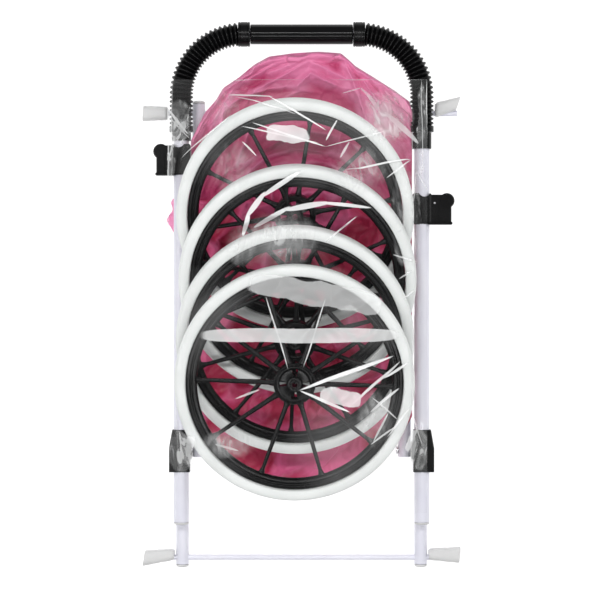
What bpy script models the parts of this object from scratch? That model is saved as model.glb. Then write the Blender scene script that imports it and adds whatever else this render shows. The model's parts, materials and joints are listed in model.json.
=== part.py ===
"""Small folding pet stroller, folded flat and lying on its back, with its four wheels in a film bag.

Metres. X is across the frame, +Y runs from the front axle to the handle, Z is up from the ground.
Every moving group hangs from an empty on its joint's axis.
"""

import math

import bmesh
import bpy
from mathutils import Matrix, Vector

# Frame: where the axles, pivots and tubes lie when folded.
LEG_R = 0.0080
LEG_WALL = 0.0012
LEG_Z = 0.0110
FRONT_LEG_X = 0.1500
REAR_LEG_X = 0.1295
FRONT_AXLE_Y = -0.3300
CROSS_Y = -0.1100
HINGE_Y = -0.1950
REAR_AXLE_Y = 0.2290
FRONT_LEG_TOP_Y = 0.0940
LEG_OVERRUN = 0.0120
AXLE_R = 0.0035
PIN_R = 0.0030
CLEARANCE = 0.0004

RAIL_X = 0.1505
RAIL_R = 0.0095
RAIL_BORE_R = 0.0083
RAIL_Z = 0.0310
RAIL_LOW_Y = -0.2840
RAIL_TOP_Y = 0.2000

# Handle: a bent tube that telescopes in the rails, with a grip, two collars, two hoses and two cuffs.
HANDLE_R = 0.0080
HANDLE_BORE_R = 0.0068
HANDLE_LOW_Y = 0.0700
BEND_R = 0.0765
BEND_X = RAIL_X - BEND_R
BEND_Y = 0.2500
GRIP_R = 0.0125
GRIP_HALF = 0.0640
GRIP_COLLAR_R = 0.0155
GRIP_COLLAR_LENGTH = 0.0155
HOSE_R = 0.0148
HOSE_BORE_R = 0.0086
HOSE_LOW_Y = 0.2040
CUFF_R = 0.0120
CUFF_BORE_R = 0.0099
CUFF_LOW_Y = {"left": 0.1930, "right": 0.1830}

# Sliding collars: where each one was left on its rail.
COLLAR_Y = {"left": 0.1695, "right": 0.1080}
COLLAR_LENGTH = 0.0390
COLLAR_TOP_Z = 0.0425
WING_EDGE = {"left": 0.1813, "right": 0.1870}

# Axle sleeves, which are also what the folded frame lies on.
SLEEVE_WIDTH = 0.0220
SLEEVE_INNER_X = {"front": 0.1600, "rear": 0.1680}
SLEEVE_OUTER_X = 0.2000

# Wheels: a tilted pile, each one lying on the one below.
WHEEL_R = 0.1450
TYRE_DEPTH = 0.0140
TYRE_WIDTH = 0.0220
RIM_DEPTH = 0.0135
RIM_WIDTH = 0.0120
HUB_R = 0.0255
HUB_WIDTH = 0.0230
BORE_R = 0.0052
BUSH_BORE_R = 0.0036
SPOKE_COUNT = 10
WHEEL_CENTRES = [
    (-0.008, 0.0980, 0.1075),
    (-0.005, 0.0180, 0.1105),
    (-0.008, -0.0555, 0.1155),
    (-0.0085, -0.1060, 0.1435),
]
WHEEL_TILTS = [math.radians(tilt) for tilt in (17, 17, 17, 10)]
WHEEL_TURNS = [math.radians(turn) for turn in (9, 25, 15.5, -2)]

# Soft parts.
BOARD_HALF_X = 0.1080
BOARD_Y = (-0.1780, 0.0900)
BOARD_Z = (0.0205, 0.0235)
FABRIC_Z = (0.0242, 0.0495)
FABRIC_HALF_X = 0.1300
HOOD_OUTLINE = [
    (0.1305, 0.2300),
    (0.1230, 0.2560),
    (0.0940, 0.2690),
    (0.0690, 0.2840),
    (0.0500, 0.3010),
    (0.0200, 0.3030),
    (-0.0200, 0.3000),
    (-0.0600, 0.2870),
    (-0.1000, 0.2540),
    (-0.1270, 0.2120),
]
BODY_OUTLINE = [
    (-0.1300, -0.1400),
    (-0.1160, -0.1880),
    (-0.0900, -0.2090),
    (-0.0500, -0.2240),
    (0.0000, -0.2280),
    (0.0500, -0.2240),
    (0.0850, -0.2110),
    (0.1100, -0.1900),
    (0.1300, -0.1600),
]
FILM_X = (-0.1680, 0.1570)
FILM_Y = (-0.2720, 0.2690)
FILM_BASE_Z = 0.0512
FILM_TOP_Z = 0.1885
FILM_NEAR_Z = 0.1420
FILM_PEAK_Y = 0.0300
FILM_FAR_Y = 0.2500
FILM_FAR_Z = 0.1720
FILM_WALL = 0.0012

SIDES = {"left": -1, "right": 1}

COLOURS = {
    "white_paint": ((0.80, 0.80, 0.86), 0.0, 0.35),
    "white_foam": ((0.86, 0.88, 0.87), 0.0, 0.60),
    "bright_steel": ((0.62, 0.62, 0.64), 1.0, 0.30),
    "black_plastic": ((0.012, 0.012, 0.013), 0.0, 0.30),
    "gloss_black": ((0.008, 0.008, 0.009), 0.0, 0.12),
    "white_sleeve": ((0.88, 0.88, 0.88), 0.0, 0.55),
    "pink_nylon": ((0.80, 0.22, 0.46), 0.0, 0.55),
    "grey_board": ((0.25, 0.25, 0.26), 0.0, 0.80),
    "clear_film": ((0.95, 0.95, 0.97), 0.0, 0.10),
}


def clear_scene():
    for item in list(bpy.data.objects):
        bpy.data.objects.remove(item, do_unlink=True)


def make_material(name, alpha=1.0):
    colour, metallic, roughness = COLOURS[name]
    material = bpy.data.materials.new(name)
    material.use_nodes = True
    shader = material.node_tree.nodes["Principled BSDF"]
    shader.inputs["Base Color"].default_value = (*colour, 1.0)
    shader.inputs["Metallic"].default_value = metallic
    shader.inputs["Roughness"].default_value = roughness
    shader.inputs["Alpha"].default_value = alpha
    return material


def make_pivot(name, matrix, parent=None):
    pivot = bpy.data.objects.new(name, None)
    pivot.empty_display_size = 0.02
    bpy.context.collection.objects.link(pivot)
    pivot.parent = parent
    pivot.matrix_world = matrix
    bpy.context.view_layer.update()
    return pivot


def place(name, mesh_data, colour, pivot, local=False, alpha=1.0):
    """Turn a bmesh into a named node that hangs from its pivot."""
    if not local:
        mesh_data.transform(pivot.matrix_world.inverted())
    bmesh.ops.recalc_face_normals(mesh_data, faces=mesh_data.faces)
    mesh = bpy.data.meshes.new(name)
    mesh_data.to_mesh(mesh)
    mesh_data.free()
    node = bpy.data.objects.new(name, mesh)
    bpy.context.collection.objects.link(node)
    node.parent = pivot
    material = make_material(colour, alpha)
    material.name = name
    mesh.materials.append(material)
    return node


def combine(operation, base, tools):
    """Add or cut a list of bmeshes with the exact solver and return the result."""
    def as_object(mesh_data, name):
        bmesh.ops.recalc_face_normals(mesh_data, faces=mesh_data.faces)
        mesh = bpy.data.meshes.new(name)
        mesh_data.to_mesh(mesh)
        mesh_data.free()
        item = bpy.data.objects.new(name, mesh)
        bpy.context.collection.objects.link(item)
        return item

    base_object = as_object(base, "base_shape")
    tool_objects = [as_object(tool, "tool_shape") for tool in tools]
    for tool in tool_objects:
        modifier = base_object.modifiers.new("shape", "BOOLEAN")
        modifier.operation = operation
        modifier.solver = "EXACT"
        modifier.object = tool
    bpy.context.view_layer.update()
    graph = bpy.context.evaluated_depsgraph_get()
    result = bmesh.new()
    result.from_mesh(base_object.evaluated_get(graph).to_mesh())
    for item in [base_object, *tool_objects]:
        bpy.data.objects.remove(item, do_unlink=True)
    return result


def ring_points(centre, side, up, radius, segments):
    points = []
    for index in range(segments):
        angle = 2 * math.pi * (index + 0.5) / segments
        points.append(centre + side * radius * math.cos(angle) + up * radius * math.sin(angle))
    return points


def bridge(mesh_data, first, second):
    count = len(first)
    for index in range(count):
        following = (index + 1) % count
        mesh_data.faces.new((first[index], first[following], second[following], second[index]))


def sweep(path, radius, bore=0.0, segments=16):
    """A round bar along a path that lies level or across, or a tube when it has a bore."""
    result = bmesh.new()
    points = [Vector(point) for point in path]
    outer_rings = []
    inner_rings = []
    for index, point in enumerate(points):
        before = points[max(index - 1, 0)]
        after = points[min(index + 1, len(points) - 1)]
        forward = (after - before).normalized()
        side = forward.cross(Vector((0, 0, 1))).normalized()
        up = side.cross(forward)
        outer_rings.append([result.verts.new(p) for p in ring_points(point, side, up, radius, segments)])
        if bore:
            inner_rings.append([result.verts.new(p) for p in ring_points(point, side, up, bore, segments)])
    for first, second in zip(outer_rings, outer_rings[1:]):
        bridge(result, first, second)
    for first, second in zip(inner_rings, inner_rings[1:]):
        bridge(result, second, first)
    if bore:
        bridge(result, inner_rings[0], outer_rings[0])
        bridge(result, outer_rings[-1], inner_rings[-1])
    else:
        result.faces.new(outer_rings[0][::-1])
        result.faces.new(outer_rings[-1])
    return result


def lathe(profile, segments, centre=(0, 0, 0), axis="Z"):
    """Revolve a closed outline of (radius, height) pairs; one that touches the axis closes there."""
    result = bmesh.new()
    rings = []
    for radius, height in profile:
        if radius == 0:
            rings.append([result.verts.new((0, 0, height))])
            continue
        ring = []
        for index in range(segments):
            angle = 2 * math.pi * index / segments
            ring.append(result.verts.new((radius * math.cos(angle), radius * math.sin(angle), height)))
        rings.append(ring)
    for first, second in zip(rings, rings[1:] + rings[:1]):
        for index in range(segments):
            following = (index + 1) % segments
            corners = [first[index % len(first)], first[following % len(first)]]
            corners += [second[following % len(second)], second[index % len(second)]]
            unique = list(dict.fromkeys(corners))
            if len(unique) > 2:
                result.faces.new(unique)
    turn = {
        "X": Matrix.Rotation(math.radians(90), 4, "Y"),
        "-X": Matrix.Rotation(math.radians(-90), 4, "Y"),
        "Y": Matrix.Rotation(math.radians(-90), 4, "X"),
        "-Y": Matrix.Rotation(math.radians(90), 4, "X"),
        "Z": Matrix.Identity(4),
    }[axis]
    result.transform(Matrix.Translation(Vector(centre)) @ turn)
    return result


def box(low, high, bevel=0.0, bevel_segments=2):
    result = bmesh.new()
    bmesh.ops.create_cube(result, size=1.0)
    size = [high[axis] - low[axis] for axis in range(3)]
    middle = [(high[axis] + low[axis]) / 2 for axis in range(3)]
    result.transform(Matrix.Translation(middle) @ Matrix.Diagonal((*size, 1.0)))
    if bevel:
        bmesh.ops.bevel(result, geom=result.edges[:], offset=bevel, segments=bevel_segments,
                        profile=0.5, affect="EDGES")
    return result


def prism(outline, z_low, z_high, bevel=0.0):
    """Extrude a flat outline of (x, y) points upwards."""
    result = bmesh.new()
    bottom = [result.verts.new((x, y, z_low)) for x, y in outline]
    top = [result.verts.new((x, y, z_high)) for x, y in outline]
    result.faces.new(bottom[::-1])
    result.faces.new(top)
    bridge(result, bottom, top)
    if bevel:
        bmesh.ops.recalc_face_normals(result, faces=result.faces)
        rims = [edge for edge in result.edges if abs(edge.verts[0].co.z - edge.verts[1].co.z) < 1e-6]
        bmesh.ops.bevel(result, geom=rims, offset=bevel, segments=2, profile=0.5, affect="EDGES")
    return result


def bar(start, end, radius, segments=16):
    return sweep([start, end], radius, 0.0, segments)


def hole_across(x_low, x_high, y, z, radius):
    return bar((x_low, y, z), (x_high, y, z), radius)


def dome(outer, inner, depth, length):
    """A tube plug: a stem that enters the bore and a rounded head outside it."""
    return [(0, 0), (inner, 0), (inner, length), (outer, length), (outer, length + depth * 0.4),
            (outer * 0.82, length + depth * 0.8), (outer * 0.4, length + depth), (0, length + depth)]


def make_leg(name, x, low_y, high_y, hole_ys, pivot):
    tube = sweep([(x, low_y, LEG_Z), (x, high_y, LEG_Z)], LEG_R, LEG_R - LEG_WALL)
    reach = LEG_R + 0.004
    holes = [hole_across(x - reach, x + reach, y, LEG_Z, radius) for y, radius in hole_ys]
    place(name, combine("DIFFERENCE", tube, holes), "white_paint", pivot)


def make_leg_plug(name, x, end_y, direction, pivot):
    stem = 0.0035
    head = 0.0035
    profile = dome(LEG_R, LEG_R - LEG_WALL - CLEARANCE, head, stem + CLEARANCE)
    axis = "Y" if direction > 0 else "-Y"
    place(name, lathe(profile, 16, (x, end_y - direction * stem, LEG_Z), axis), "white_sleeve", pivot)


def make_axle(name, y, pivot):
    half = SLEEVE_OUTER_X - 0.004
    place(name, bar((-half, y, LEG_Z), (half, y, LEG_Z), AXLE_R), "white_paint", pivot)


def make_axle_sleeve(name, sign, y, inner_x, pivot):
    low_x, high_x = sorted((sign * inner_x, sign * SLEEVE_OUTER_X))
    half = SLEEVE_WIDTH / 2
    block = box((low_x, y - half, LEG_Z - half), (high_x, y + half, LEG_Z + half), 0.004)
    bore = hole_across(low_x - 0.01, high_x + 0.01, y, LEG_Z, AXLE_R + CLEARANCE)
    place(name, combine("DIFFERENCE", block, [bore]), "white_sleeve", pivot)


def make_shouldered_pin(name, sign, inner_x, outer_x, y, pivot, outer_head=True):
    """A headed pin through the tubes; its far end is peened over when it has room."""
    head_r = PIN_R + 0.0024
    head = 0.0022
    reach = outer_x - inner_x
    profile = [(0, 0), (head_r * 0.7, 0), (head_r, head * 0.5), (head_r, head), (PIN_R, head)]
    if outer_head:
        profile += [(PIN_R, reach - head), (head_r, reach - head), (head_r, reach - head * 0.5),
                    (head_r * 0.7, reach)]
    else:
        profile += [(PIN_R, reach)]
    profile.append((0, reach))
    axis = "X" if sign > 0 else "-X"
    place(name, lathe(profile, 16, (sign * inner_x, y, LEG_Z), axis), "bright_steel", pivot)


def make_front_axle(pivot):
    make_axle("front_axle", FRONT_AXLE_Y, pivot)
    for side, sign in SIDES.items():
        make_axle_sleeve(f"front_axle_sleeve_{side}", sign, FRONT_AXLE_Y, SLEEVE_INNER_X["front"], pivot)


def make_front_legs(pivot):
    low = FRONT_AXLE_Y - LEG_OVERRUN + 0.0035
    high = FRONT_LEG_TOP_Y + 0.0045
    holes = [(FRONT_AXLE_Y, AXLE_R + CLEARANCE), (CROSS_Y, PIN_R + CLEARANCE)]
    for side, sign in SIDES.items():
        x = sign * FRONT_LEG_X
        make_leg(f"front_leg_{side}", x, low, high, holes, pivot)
        make_leg_plug(f"front_leg_foot_{side}", x, low, -1, pivot)
        make_leg_plug(f"front_leg_tip_{side}", x, high, 1, pivot)
        make_shouldered_pin(f"cross_pin_{side}", sign, REAR_LEG_X - LEG_R - 0.0028,
                            FRONT_LEG_X + LEG_R + 0.0028, CROSS_Y, pivot)


def make_rear_legs(pivot):
    low = HINGE_Y - 0.0085
    high = REAR_AXLE_Y + LEG_OVERRUN
    holes = [(HINGE_Y, PIN_R + CLEARANCE), (CROSS_Y, PIN_R + CLEARANCE),
             (REAR_AXLE_Y, AXLE_R + CLEARANCE)]
    for side, sign in SIDES.items():
        x = sign * REAR_LEG_X
        make_leg(f"rear_leg_{side}", x, low, high, holes, pivot)
        make_leg_plug(f"rear_leg_foot_{side}", x, high, 1, pivot)
        make_axle_sleeve(f"rear_axle_sleeve_{side}", sign, REAR_AXLE_Y, SLEEVE_INNER_X["rear"], pivot)
    make_axle("rear_axle", REAR_AXLE_Y, pivot)


def make_lower_bracket(side, sign, pivot):
    """Clamp on the rail with a cheek plate that carries the rear leg's hinge pin."""
    low_y = HINGE_Y - 0.0260
    high_y = HINGE_Y + 0.0270
    outline = [(0.1395, low_y), (0.1655, low_y), (0.1655, low_y + 0.030), (0.1615, high_y),
               (0.1395, high_y)]
    outline = [(sign * x, y) for x, y in outline]
    block = prism(outline, 0.0203, 0.0432, 0.0018)
    cheek_x = sorted((sign * 0.1381, sign * 0.1412))
    cheek = box((cheek_x[0], HINGE_Y - 0.0110, 0.0035), (cheek_x[1], HINGE_Y + 0.0110, 0.0300), 0.0006, 1)
    body = combine("UNION", block, [cheek])
    bore = sweep([(sign * RAIL_X, low_y - 0.01, RAIL_Z), (sign * RAIL_X, high_y + 0.01, RAIL_Z)],
                 RAIL_R + CLEARANCE)
    pin_hole = hole_across(cheek_x[0] - 0.003, cheek_x[1] + 0.0001, HINGE_Y, LEG_Z, PIN_R + CLEARANCE)
    place(f"lower_bracket_{side}", combine("DIFFERENCE", body, [bore, pin_hole]), "black_plastic", pivot)


def make_rails(pivot):
    for side, sign in SIDES.items():
        x = sign * RAIL_X
        rail = sweep([(x, RAIL_LOW_Y, RAIL_Z), (x, RAIL_TOP_Y, RAIL_Z)], RAIL_R, RAIL_BORE_R)
        place(f"rail_{side}", rail, "white_paint", pivot)
        stem = 0.0060
        profile = dome(RAIL_R, RAIL_BORE_R - CLEARANCE, 0.0030, stem + CLEARANCE)
        cap = lathe(profile, 16, (x, RAIL_LOW_Y + stem, RAIL_Z), "-Y")
        place(f"rail_cap_{side}", cap, "white_sleeve", pivot)
        make_lower_bracket(side, sign, pivot)
        make_shouldered_pin(f"hinge_pin_{side}", sign, REAR_LEG_X - LEG_R - 0.0028, 0.1408,
                            HINGE_Y, pivot, outer_head=False)


def arch(half_width, base_y, top_y, steps, roundness=2.6):
    """Half an oval from right to left, a little squarer than an ellipse."""
    points = []
    for index in range(steps + 1):
        angle = math.pi * index / steps
        across = math.copysign(abs(math.cos(angle)) ** (2 / roundness), math.cos(angle))
        along = abs(math.sin(angle)) ** (2 / roundness)
        points.append((half_width * across, base_y + (top_y - base_y) * along))
    return points


def make_soft_parts(pivot):
    board = box((-BOARD_HALF_X, BOARD_Y[0], BOARD_Z[0]), (BOARD_HALF_X, BOARD_Y[1], BOARD_Z[1]), 0.0008, 1)
    place("base_board", board, "grey_board", pivot)
    low, high = FABRIC_Z
    split_y = 0.1150
    outline = [(-FABRIC_HALF_X, split_y - 0.001), *BODY_OUTLINE, (FABRIC_HALF_X, split_y - 0.001)]
    place("fabric_body", prism(outline, low, high, 0.006), "pink_nylon", pivot)
    outline = [(FABRIC_HALF_X, split_y), *HOOD_OUTLINE, (-FABRIC_HALF_X, split_y)]
    place("fabric_hood", prism(outline, low + 0.0022, high, 0.004), "pink_nylon", pivot)
    for index, (half, top) in enumerate(((0.1140, 0.2780), (0.1060, 0.2680))):
        route = [(half, 0.1000)] + arch(half, 0.1900, top, 20) + [(-half, 0.1000)]
        wire = sweep([(x, y, 0.0222) for x, y in route], 0.0014, 0.0, 8)
        place(f"hood_bow_{('front', 'rear')[index]}", wire, "bright_steel", pivot)


def handle_arc(sign, from_angle, to_angle, steps):
    points = []
    for index in range(steps + 1):
        angle = math.radians(from_angle + (to_angle - from_angle) * index / steps)
        x = sign * (BEND_X + BEND_R * math.sin(angle))
        points.append((x, BEND_Y + BEND_R * math.cos(angle), RAIL_Z))
    return points


def make_handle(pivot):
    route = [(-RAIL_X, HANDLE_LOW_Y, RAIL_Z)] + handle_arc(-1, 90, 0, 10)
    route += handle_arc(1, 0, 90, 10) + [(RAIL_X, HANDLE_LOW_Y, RAIL_Z)]
    place("handle_tube", sweep(route, HANDLE_R, HANDLE_BORE_R, 12), "white_paint", pivot)
    grip_y = BEND_Y + BEND_R
    bore = HANDLE_R + CLEARANCE
    grip = sweep([(-GRIP_HALF, grip_y, RAIL_Z), (GRIP_HALF, grip_y, RAIL_Z)], GRIP_R, bore)
    place("grip", grip, "gloss_black", pivot)
    hose_start = math.degrees(math.asin((GRIP_HALF + GRIP_COLLAR_LENGTH + 0.0019 - BEND_X) / BEND_R))
    for side, sign in SIDES.items():
        collar_x = [sign * (GRIP_HALF + 0.0005), sign * (GRIP_HALF + GRIP_COLLAR_LENGTH)]
        collar = sweep([(x, grip_y, RAIL_Z) for x in collar_x], GRIP_COLLAR_R, bore + 0.0006)
        place(f"grip_collar_{side}", collar, "black_plastic", pivot)
        x = sign * RAIL_X
        hose_route = handle_arc(sign, hose_start, hose_start + 0.5, 1)
        hose_route += handle_arc(sign, hose_start + 7.0, 90, 10) + [(x, HOSE_LOW_Y, RAIL_Z)]
        place(f"hose_{side}", sweep(hose_route, HOSE_R, HOSE_BORE_R), "black_plastic", pivot)
        cuff_y = (CUFF_LOW_Y[side], HOSE_LOW_Y - 0.0006)
        cuff = sweep([(x, y, RAIL_Z) for y in cuff_y], CUFF_R, CUFF_BORE_R)
        place(f"cuff_{side}", cuff, "black_plastic", pivot)


def make_sliding_collar(side, sign, pivot):
    """Sleeve round the rail that widens into a wing with a round corner boss and a foot flange."""
    centre = COLLAR_Y[side]
    low = centre - COLLAR_LENGTH / 2
    high = centre + COLLAR_LENGTH / 2
    z_low, z_high = 0.0202, COLLAR_TOP_Z
    wing_edge = WING_EDGE[side]
    sleeve = box((sign * RAIL_X - 0.0118, low, z_low), (sign * RAIL_X + 0.0118, high, z_high), 0.0026)
    wing_x = sorted((sign * 0.1560, sign * wing_edge))
    wing = box((wing_x[0], low + 0.0004, 0.0225), (wing_x[1], high - 0.0020, z_high - 0.0010), 0.0012)
    boss_r = 0.0095
    boss = lathe([(0, 0), (boss_r, 0), (boss_r, 0.0165), (boss_r - 0.0014, 0.0182), (0, 0.0182)], 24,
                 (sign * (wing_edge - 0.0056), high - boss_r, 0.0236))
    foot_x = sorted((sign * 0.1570, sign * (wing_edge + 0.0012)))
    foot = box((foot_x[0], low - 0.0004, 0.0215), (foot_x[1], low + 0.0030, z_high - 0.0003), 0.0008, 1)
    body = combine("UNION", sleeve, [wing, boss, foot])
    bore = sweep([(sign * RAIL_X, low - 0.01, RAIL_Z), (sign * RAIL_X, high + 0.01, RAIL_Z)],
                 RAIL_R + CLEARANCE)
    scallop = lathe([(0, 0), (0.0078, 0), (0.0078, 0.020), (0, 0.020)], 20,
                    (sign * (RAIL_X + 0.0030), high + 0.0032, RAIL_Z))
    seam_x = sorted((sign * 0.1704, sign * 0.1712))
    seam = box((seam_x[0], low + 0.0040, z_high - 0.0018), (seam_x[1], centre + 0.0070, z_high + 0.002))
    cutters = [bore, scallop, seam]
    place(f"sliding_collar_{side}", combine("DIFFERENCE", body, cutters), "black_plastic", pivot)
    screw = lathe([(0, 0), (0.0014, 0), (0.0014, 0.0006), (0.0009, 0.0010), (0, 0.0010)], 12,
                  (sign * 0.1660, high - 0.0125, z_high - 0.0006))
    place(f"collar_screw_{side}", screw, "bright_steel", pivot)
    cap = lathe([(0, 0), (0.0060, 0), (0.0060, 0.0016), (0.0048, 0.0026), (0, 0.0026)], 20,
                (sign * (RAIL_X - 0.0042), centre + 0.0085, z_high + 0.0004))
    place(f"collar_cap_{side}", cap, "black_plastic", pivot)


def tyre_profile():
    """Closed cross-section with rounded outer corners."""
    half = TYRE_WIDTH / 2
    outer = WHEEL_R
    inner = WHEEL_R - TYRE_DEPTH + CLEARANCE
    corner = 0.006
    return [(inner, -half + corner * 0.3), (outer - corner, -half),
            (outer - corner * 0.3, -half + corner * 0.4), (outer, -half + corner),
            (outer, half - corner), (outer - corner * 0.3, half - corner * 0.4),
            (outer - corner, half), (inner, half - corner * 0.3)]


def rim_profile():
    """Closed cross-section of the rim band, with a small chamfer on its inner corners."""
    half = RIM_WIDTH / 2
    outer = WHEEL_R - TYRE_DEPTH
    inner = outer - RIM_DEPTH
    chamfer = 0.0020
    return [(inner, -half + chamfer), (inner + chamfer, -half), (outer, -half), (outer, half),
            (inner + chamfer, half), (inner, half - chamfer)]


def make_spoke(angle, inner_r, outer_r):
    thick = 0.0055
    spoke = box((inner_r, -0.5, -thick / 2), (outer_r, 0.5, thick / 2))
    for vertex in spoke.verts:
        half_width = 0.0030 if vertex.co.x < (inner_r + outer_r) / 2 else 0.0022
        vertex.co.y = math.copysign(half_width, vertex.co.y)
    spoke.transform(Matrix.Rotation(angle, 4, "Z"))
    return spoke


def make_window(angle):
    """Wedge-shaped cutter for one opening in the hub."""
    half = math.radians(14)
    outline = []
    for radius, direction in ((0.0095, -1), (0.0185, -1), (0.0185, 1), (0.0095, 1)):
        turn = angle + direction * half
        outline.append((radius * math.cos(turn), radius * math.sin(turn)))
    return prism(outline, -HUB_WIDTH, HUB_WIDTH)


def make_wheel(number, centre, tilt, turn, parent):
    matrix = Matrix.Translation(Vector(centre)) @ Matrix.Rotation(tilt, 4, "X")
    pivot = make_pivot(f"wheel_{number}_axis", matrix, parent)
    segments = 36
    seat_r = WHEEL_R - TYRE_DEPTH
    tyre = lathe(tyre_profile(), segments)
    place(f"tyre_{number}", tyre, "white_foam", pivot, local=True)
    rim = lathe(rim_profile(), segments)
    half = HUB_WIDTH / 2
    hub_profile = [(BORE_R, -half), (HUB_R * 0.45, -half), (HUB_R * 0.55, -half + 0.004),
                   (HUB_R, -half + 0.006), (HUB_R, half - 0.006), (HUB_R * 0.55, half - 0.004),
                   (HUB_R * 0.45, half), (BORE_R, half)]
    hub = lathe(hub_profile, 20)
    inner = HUB_R - 0.002
    outer = seat_r - RIM_DEPTH + 0.002
    spokes = [make_spoke(turn + 2 * math.pi * k / SPOKE_COUNT, inner, outer) for k in range(SPOKE_COUNT)]
    body = combine("UNION", rim, [hub, *spokes])
    windows = [make_window(turn + math.pi * k / 2) for k in range(4)]
    place(f"rim_{number}", combine("DIFFERENCE", body, windows), "black_plastic", pivot, local=True)
    bush_r = BORE_R - CLEARANCE
    bush = lathe([(BUSH_BORE_R, -half), (bush_r, -half), (bush_r, half), (BUSH_BORE_R, half)], 16)
    place(f"wheel_bush_{number}", bush, "black_plastic", pivot, local=True)


def upright_plate(outline, x_low, x_high):
    """Extrude an outline of (y, z) points across the frame."""
    result = bmesh.new()
    near = [result.verts.new((x_low, y, z)) for y, z in outline]
    far = [result.verts.new((x_high, y, z)) for y, z in outline]
    result.faces.new(near)
    result.faces.new(far[::-1])
    bridge(result, near, far)
    return result


def make_film(pivot):
    """Cover over the wheels, open underneath: a sloping roof sheet and two side sheets."""
    wall = FILM_WALL
    roof = [(FILM_Y[0], FILM_BASE_Z), (FILM_Y[0] + 0.006, FILM_NEAR_Z), (FILM_PEAK_Y, FILM_TOP_Z),
            (FILM_FAR_Y, FILM_FAR_Z), (FILM_Y[1], FILM_BASE_Z)]
    inner = [(FILM_Y[0] + wall, FILM_BASE_Z), (FILM_Y[0] + 0.006 + wall, FILM_NEAR_Z - wall),
             (FILM_PEAK_Y, FILM_TOP_Z - wall), (FILM_FAR_Y - wall, FILM_FAR_Z - wall),
             (FILM_Y[1] - wall, FILM_BASE_Z)]
    cover = upright_plate(roof + inner[::-1], *FILM_X)
    left = upright_plate(roof, FILM_X[0], FILM_X[0] + wall)
    right = upright_plate(roof, FILM_X[1] - wall, FILM_X[1])
    place("film_bag", combine("UNION", cover, [left, right]), "clear_film", pivot, alpha=0.25)


def at(x, y, z):
    return Matrix.Translation(Vector((x, y, z)))


def main():
    clear_scene()
    root = make_pivot("front_axle_line", at(0, FRONT_AXLE_Y, LEG_Z))
    make_front_axle(root)
    front = make_pivot("front_legs_axis", at(0, FRONT_AXLE_Y, LEG_Z), root)
    make_front_legs(front)
    rear = make_pivot("rear_legs_axis", at(0, CROSS_Y, LEG_Z), front)
    make_rear_legs(rear)
    frame = make_pivot("frame_axis", at(0, HINGE_Y, LEG_Z), rear)
    make_rails(frame)
    make_soft_parts(frame)
    handle = make_pivot("handle_slide_line", at(0, BEND_Y, RAIL_Z), frame)
    make_handle(handle)
    for side, sign in SIDES.items():
        collar = make_pivot(f"collar_{side}_line", at(sign * RAIL_X, COLLAR_Y[side], RAIL_Z), frame)
        make_sliding_collar(side, sign, collar)
    bag = make_pivot("wheel_bag_line", at(0, 0, FILM_BASE_Z), frame)
    make_film(bag)
    wheels = zip(WHEEL_CENTRES, WHEEL_TILTS, WHEEL_TURNS)
    for number, (centre, tilt, turn) in enumerate(wheels, start=1):
        make_wheel(number, centre, tilt, turn, bag)


main()
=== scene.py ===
"""Looks of the folded stroller: tubes, ribbed hoses, detailed wheels, pink nylon and clear film."""

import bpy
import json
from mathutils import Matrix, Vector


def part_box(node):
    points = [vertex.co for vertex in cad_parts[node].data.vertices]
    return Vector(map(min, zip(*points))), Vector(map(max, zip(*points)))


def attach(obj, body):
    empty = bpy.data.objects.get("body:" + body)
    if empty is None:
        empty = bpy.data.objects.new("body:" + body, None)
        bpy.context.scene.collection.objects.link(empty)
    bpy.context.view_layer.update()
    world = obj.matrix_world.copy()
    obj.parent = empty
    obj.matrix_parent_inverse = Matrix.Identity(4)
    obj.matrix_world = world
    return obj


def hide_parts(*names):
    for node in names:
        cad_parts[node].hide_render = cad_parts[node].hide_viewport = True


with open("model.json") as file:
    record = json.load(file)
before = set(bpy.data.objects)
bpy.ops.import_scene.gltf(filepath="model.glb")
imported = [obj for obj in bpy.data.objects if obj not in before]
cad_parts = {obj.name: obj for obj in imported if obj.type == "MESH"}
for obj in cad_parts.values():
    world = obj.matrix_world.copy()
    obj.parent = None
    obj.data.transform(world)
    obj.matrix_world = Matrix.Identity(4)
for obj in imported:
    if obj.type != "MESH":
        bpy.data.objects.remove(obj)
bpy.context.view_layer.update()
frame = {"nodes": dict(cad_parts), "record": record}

import json
import math

import bmesh
import bpy
from mathutils import Matrix, Vector, noise

SIDES = {"left": -1, "right": 1}

# Sizes that the frame doesn't give as a box.
RAIL_X = 0.1505
RAIL_Z = 0.0310
HANDLE_R = 0.0080
HANDLE_BORE_R = 0.0068
TUBE_WALL = 0.0012
CUFF_WALL = 0.0021
CAD_TUBE_SIDES = 16
GRIP_R = 0.0125
GRIP_LINES = (math.radians(62), math.radians(118))
RING_R = 0.0155
RING_GROOVE_R = 0.0149
RING_EDGE_R = 0.0146
RING_BORE_R = 0.0091
RING_EDGE = 0.0008
BEND_R = 0.0765
BEND_X = RAIL_X - BEND_R
BEND_Y = 0.2500
GRIP_Y = BEND_Y + BEND_R
HOSE_CREST_R = 0.0149
HOSE_VALLEY_R = 0.0116
RIB_PITCH = 0.0055
RIB_SAMPLES = 12
HOSE_START = math.radians(4.2)
HOSE_RING_LENGTH = 0.0085
HOSE_CLEARANCE = 0.0006
WHEEL_R = 0.1450
TYRE_DEPTH = 0.0140
TYRE_WIDTH = 0.0220
SEAT_R = WHEEL_R - TYRE_DEPTH
RIM_DEPTH = 0.0135
RIM_WIDTH = 0.0120
HUB_R = 0.0255
HUB_WIDTH = 0.0230
SPOKE_COUNT = 10
SPOKE_OVERLAP = 0.0016
WINDOW_COUNT = 4
WINDOW_HALF_ANGLE = math.radians(13)
WINDOW_OUTER_R = 0.0182
WINDOW_INNER_R = 0.0102
ROUND_SEGMENTS = 144
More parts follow.
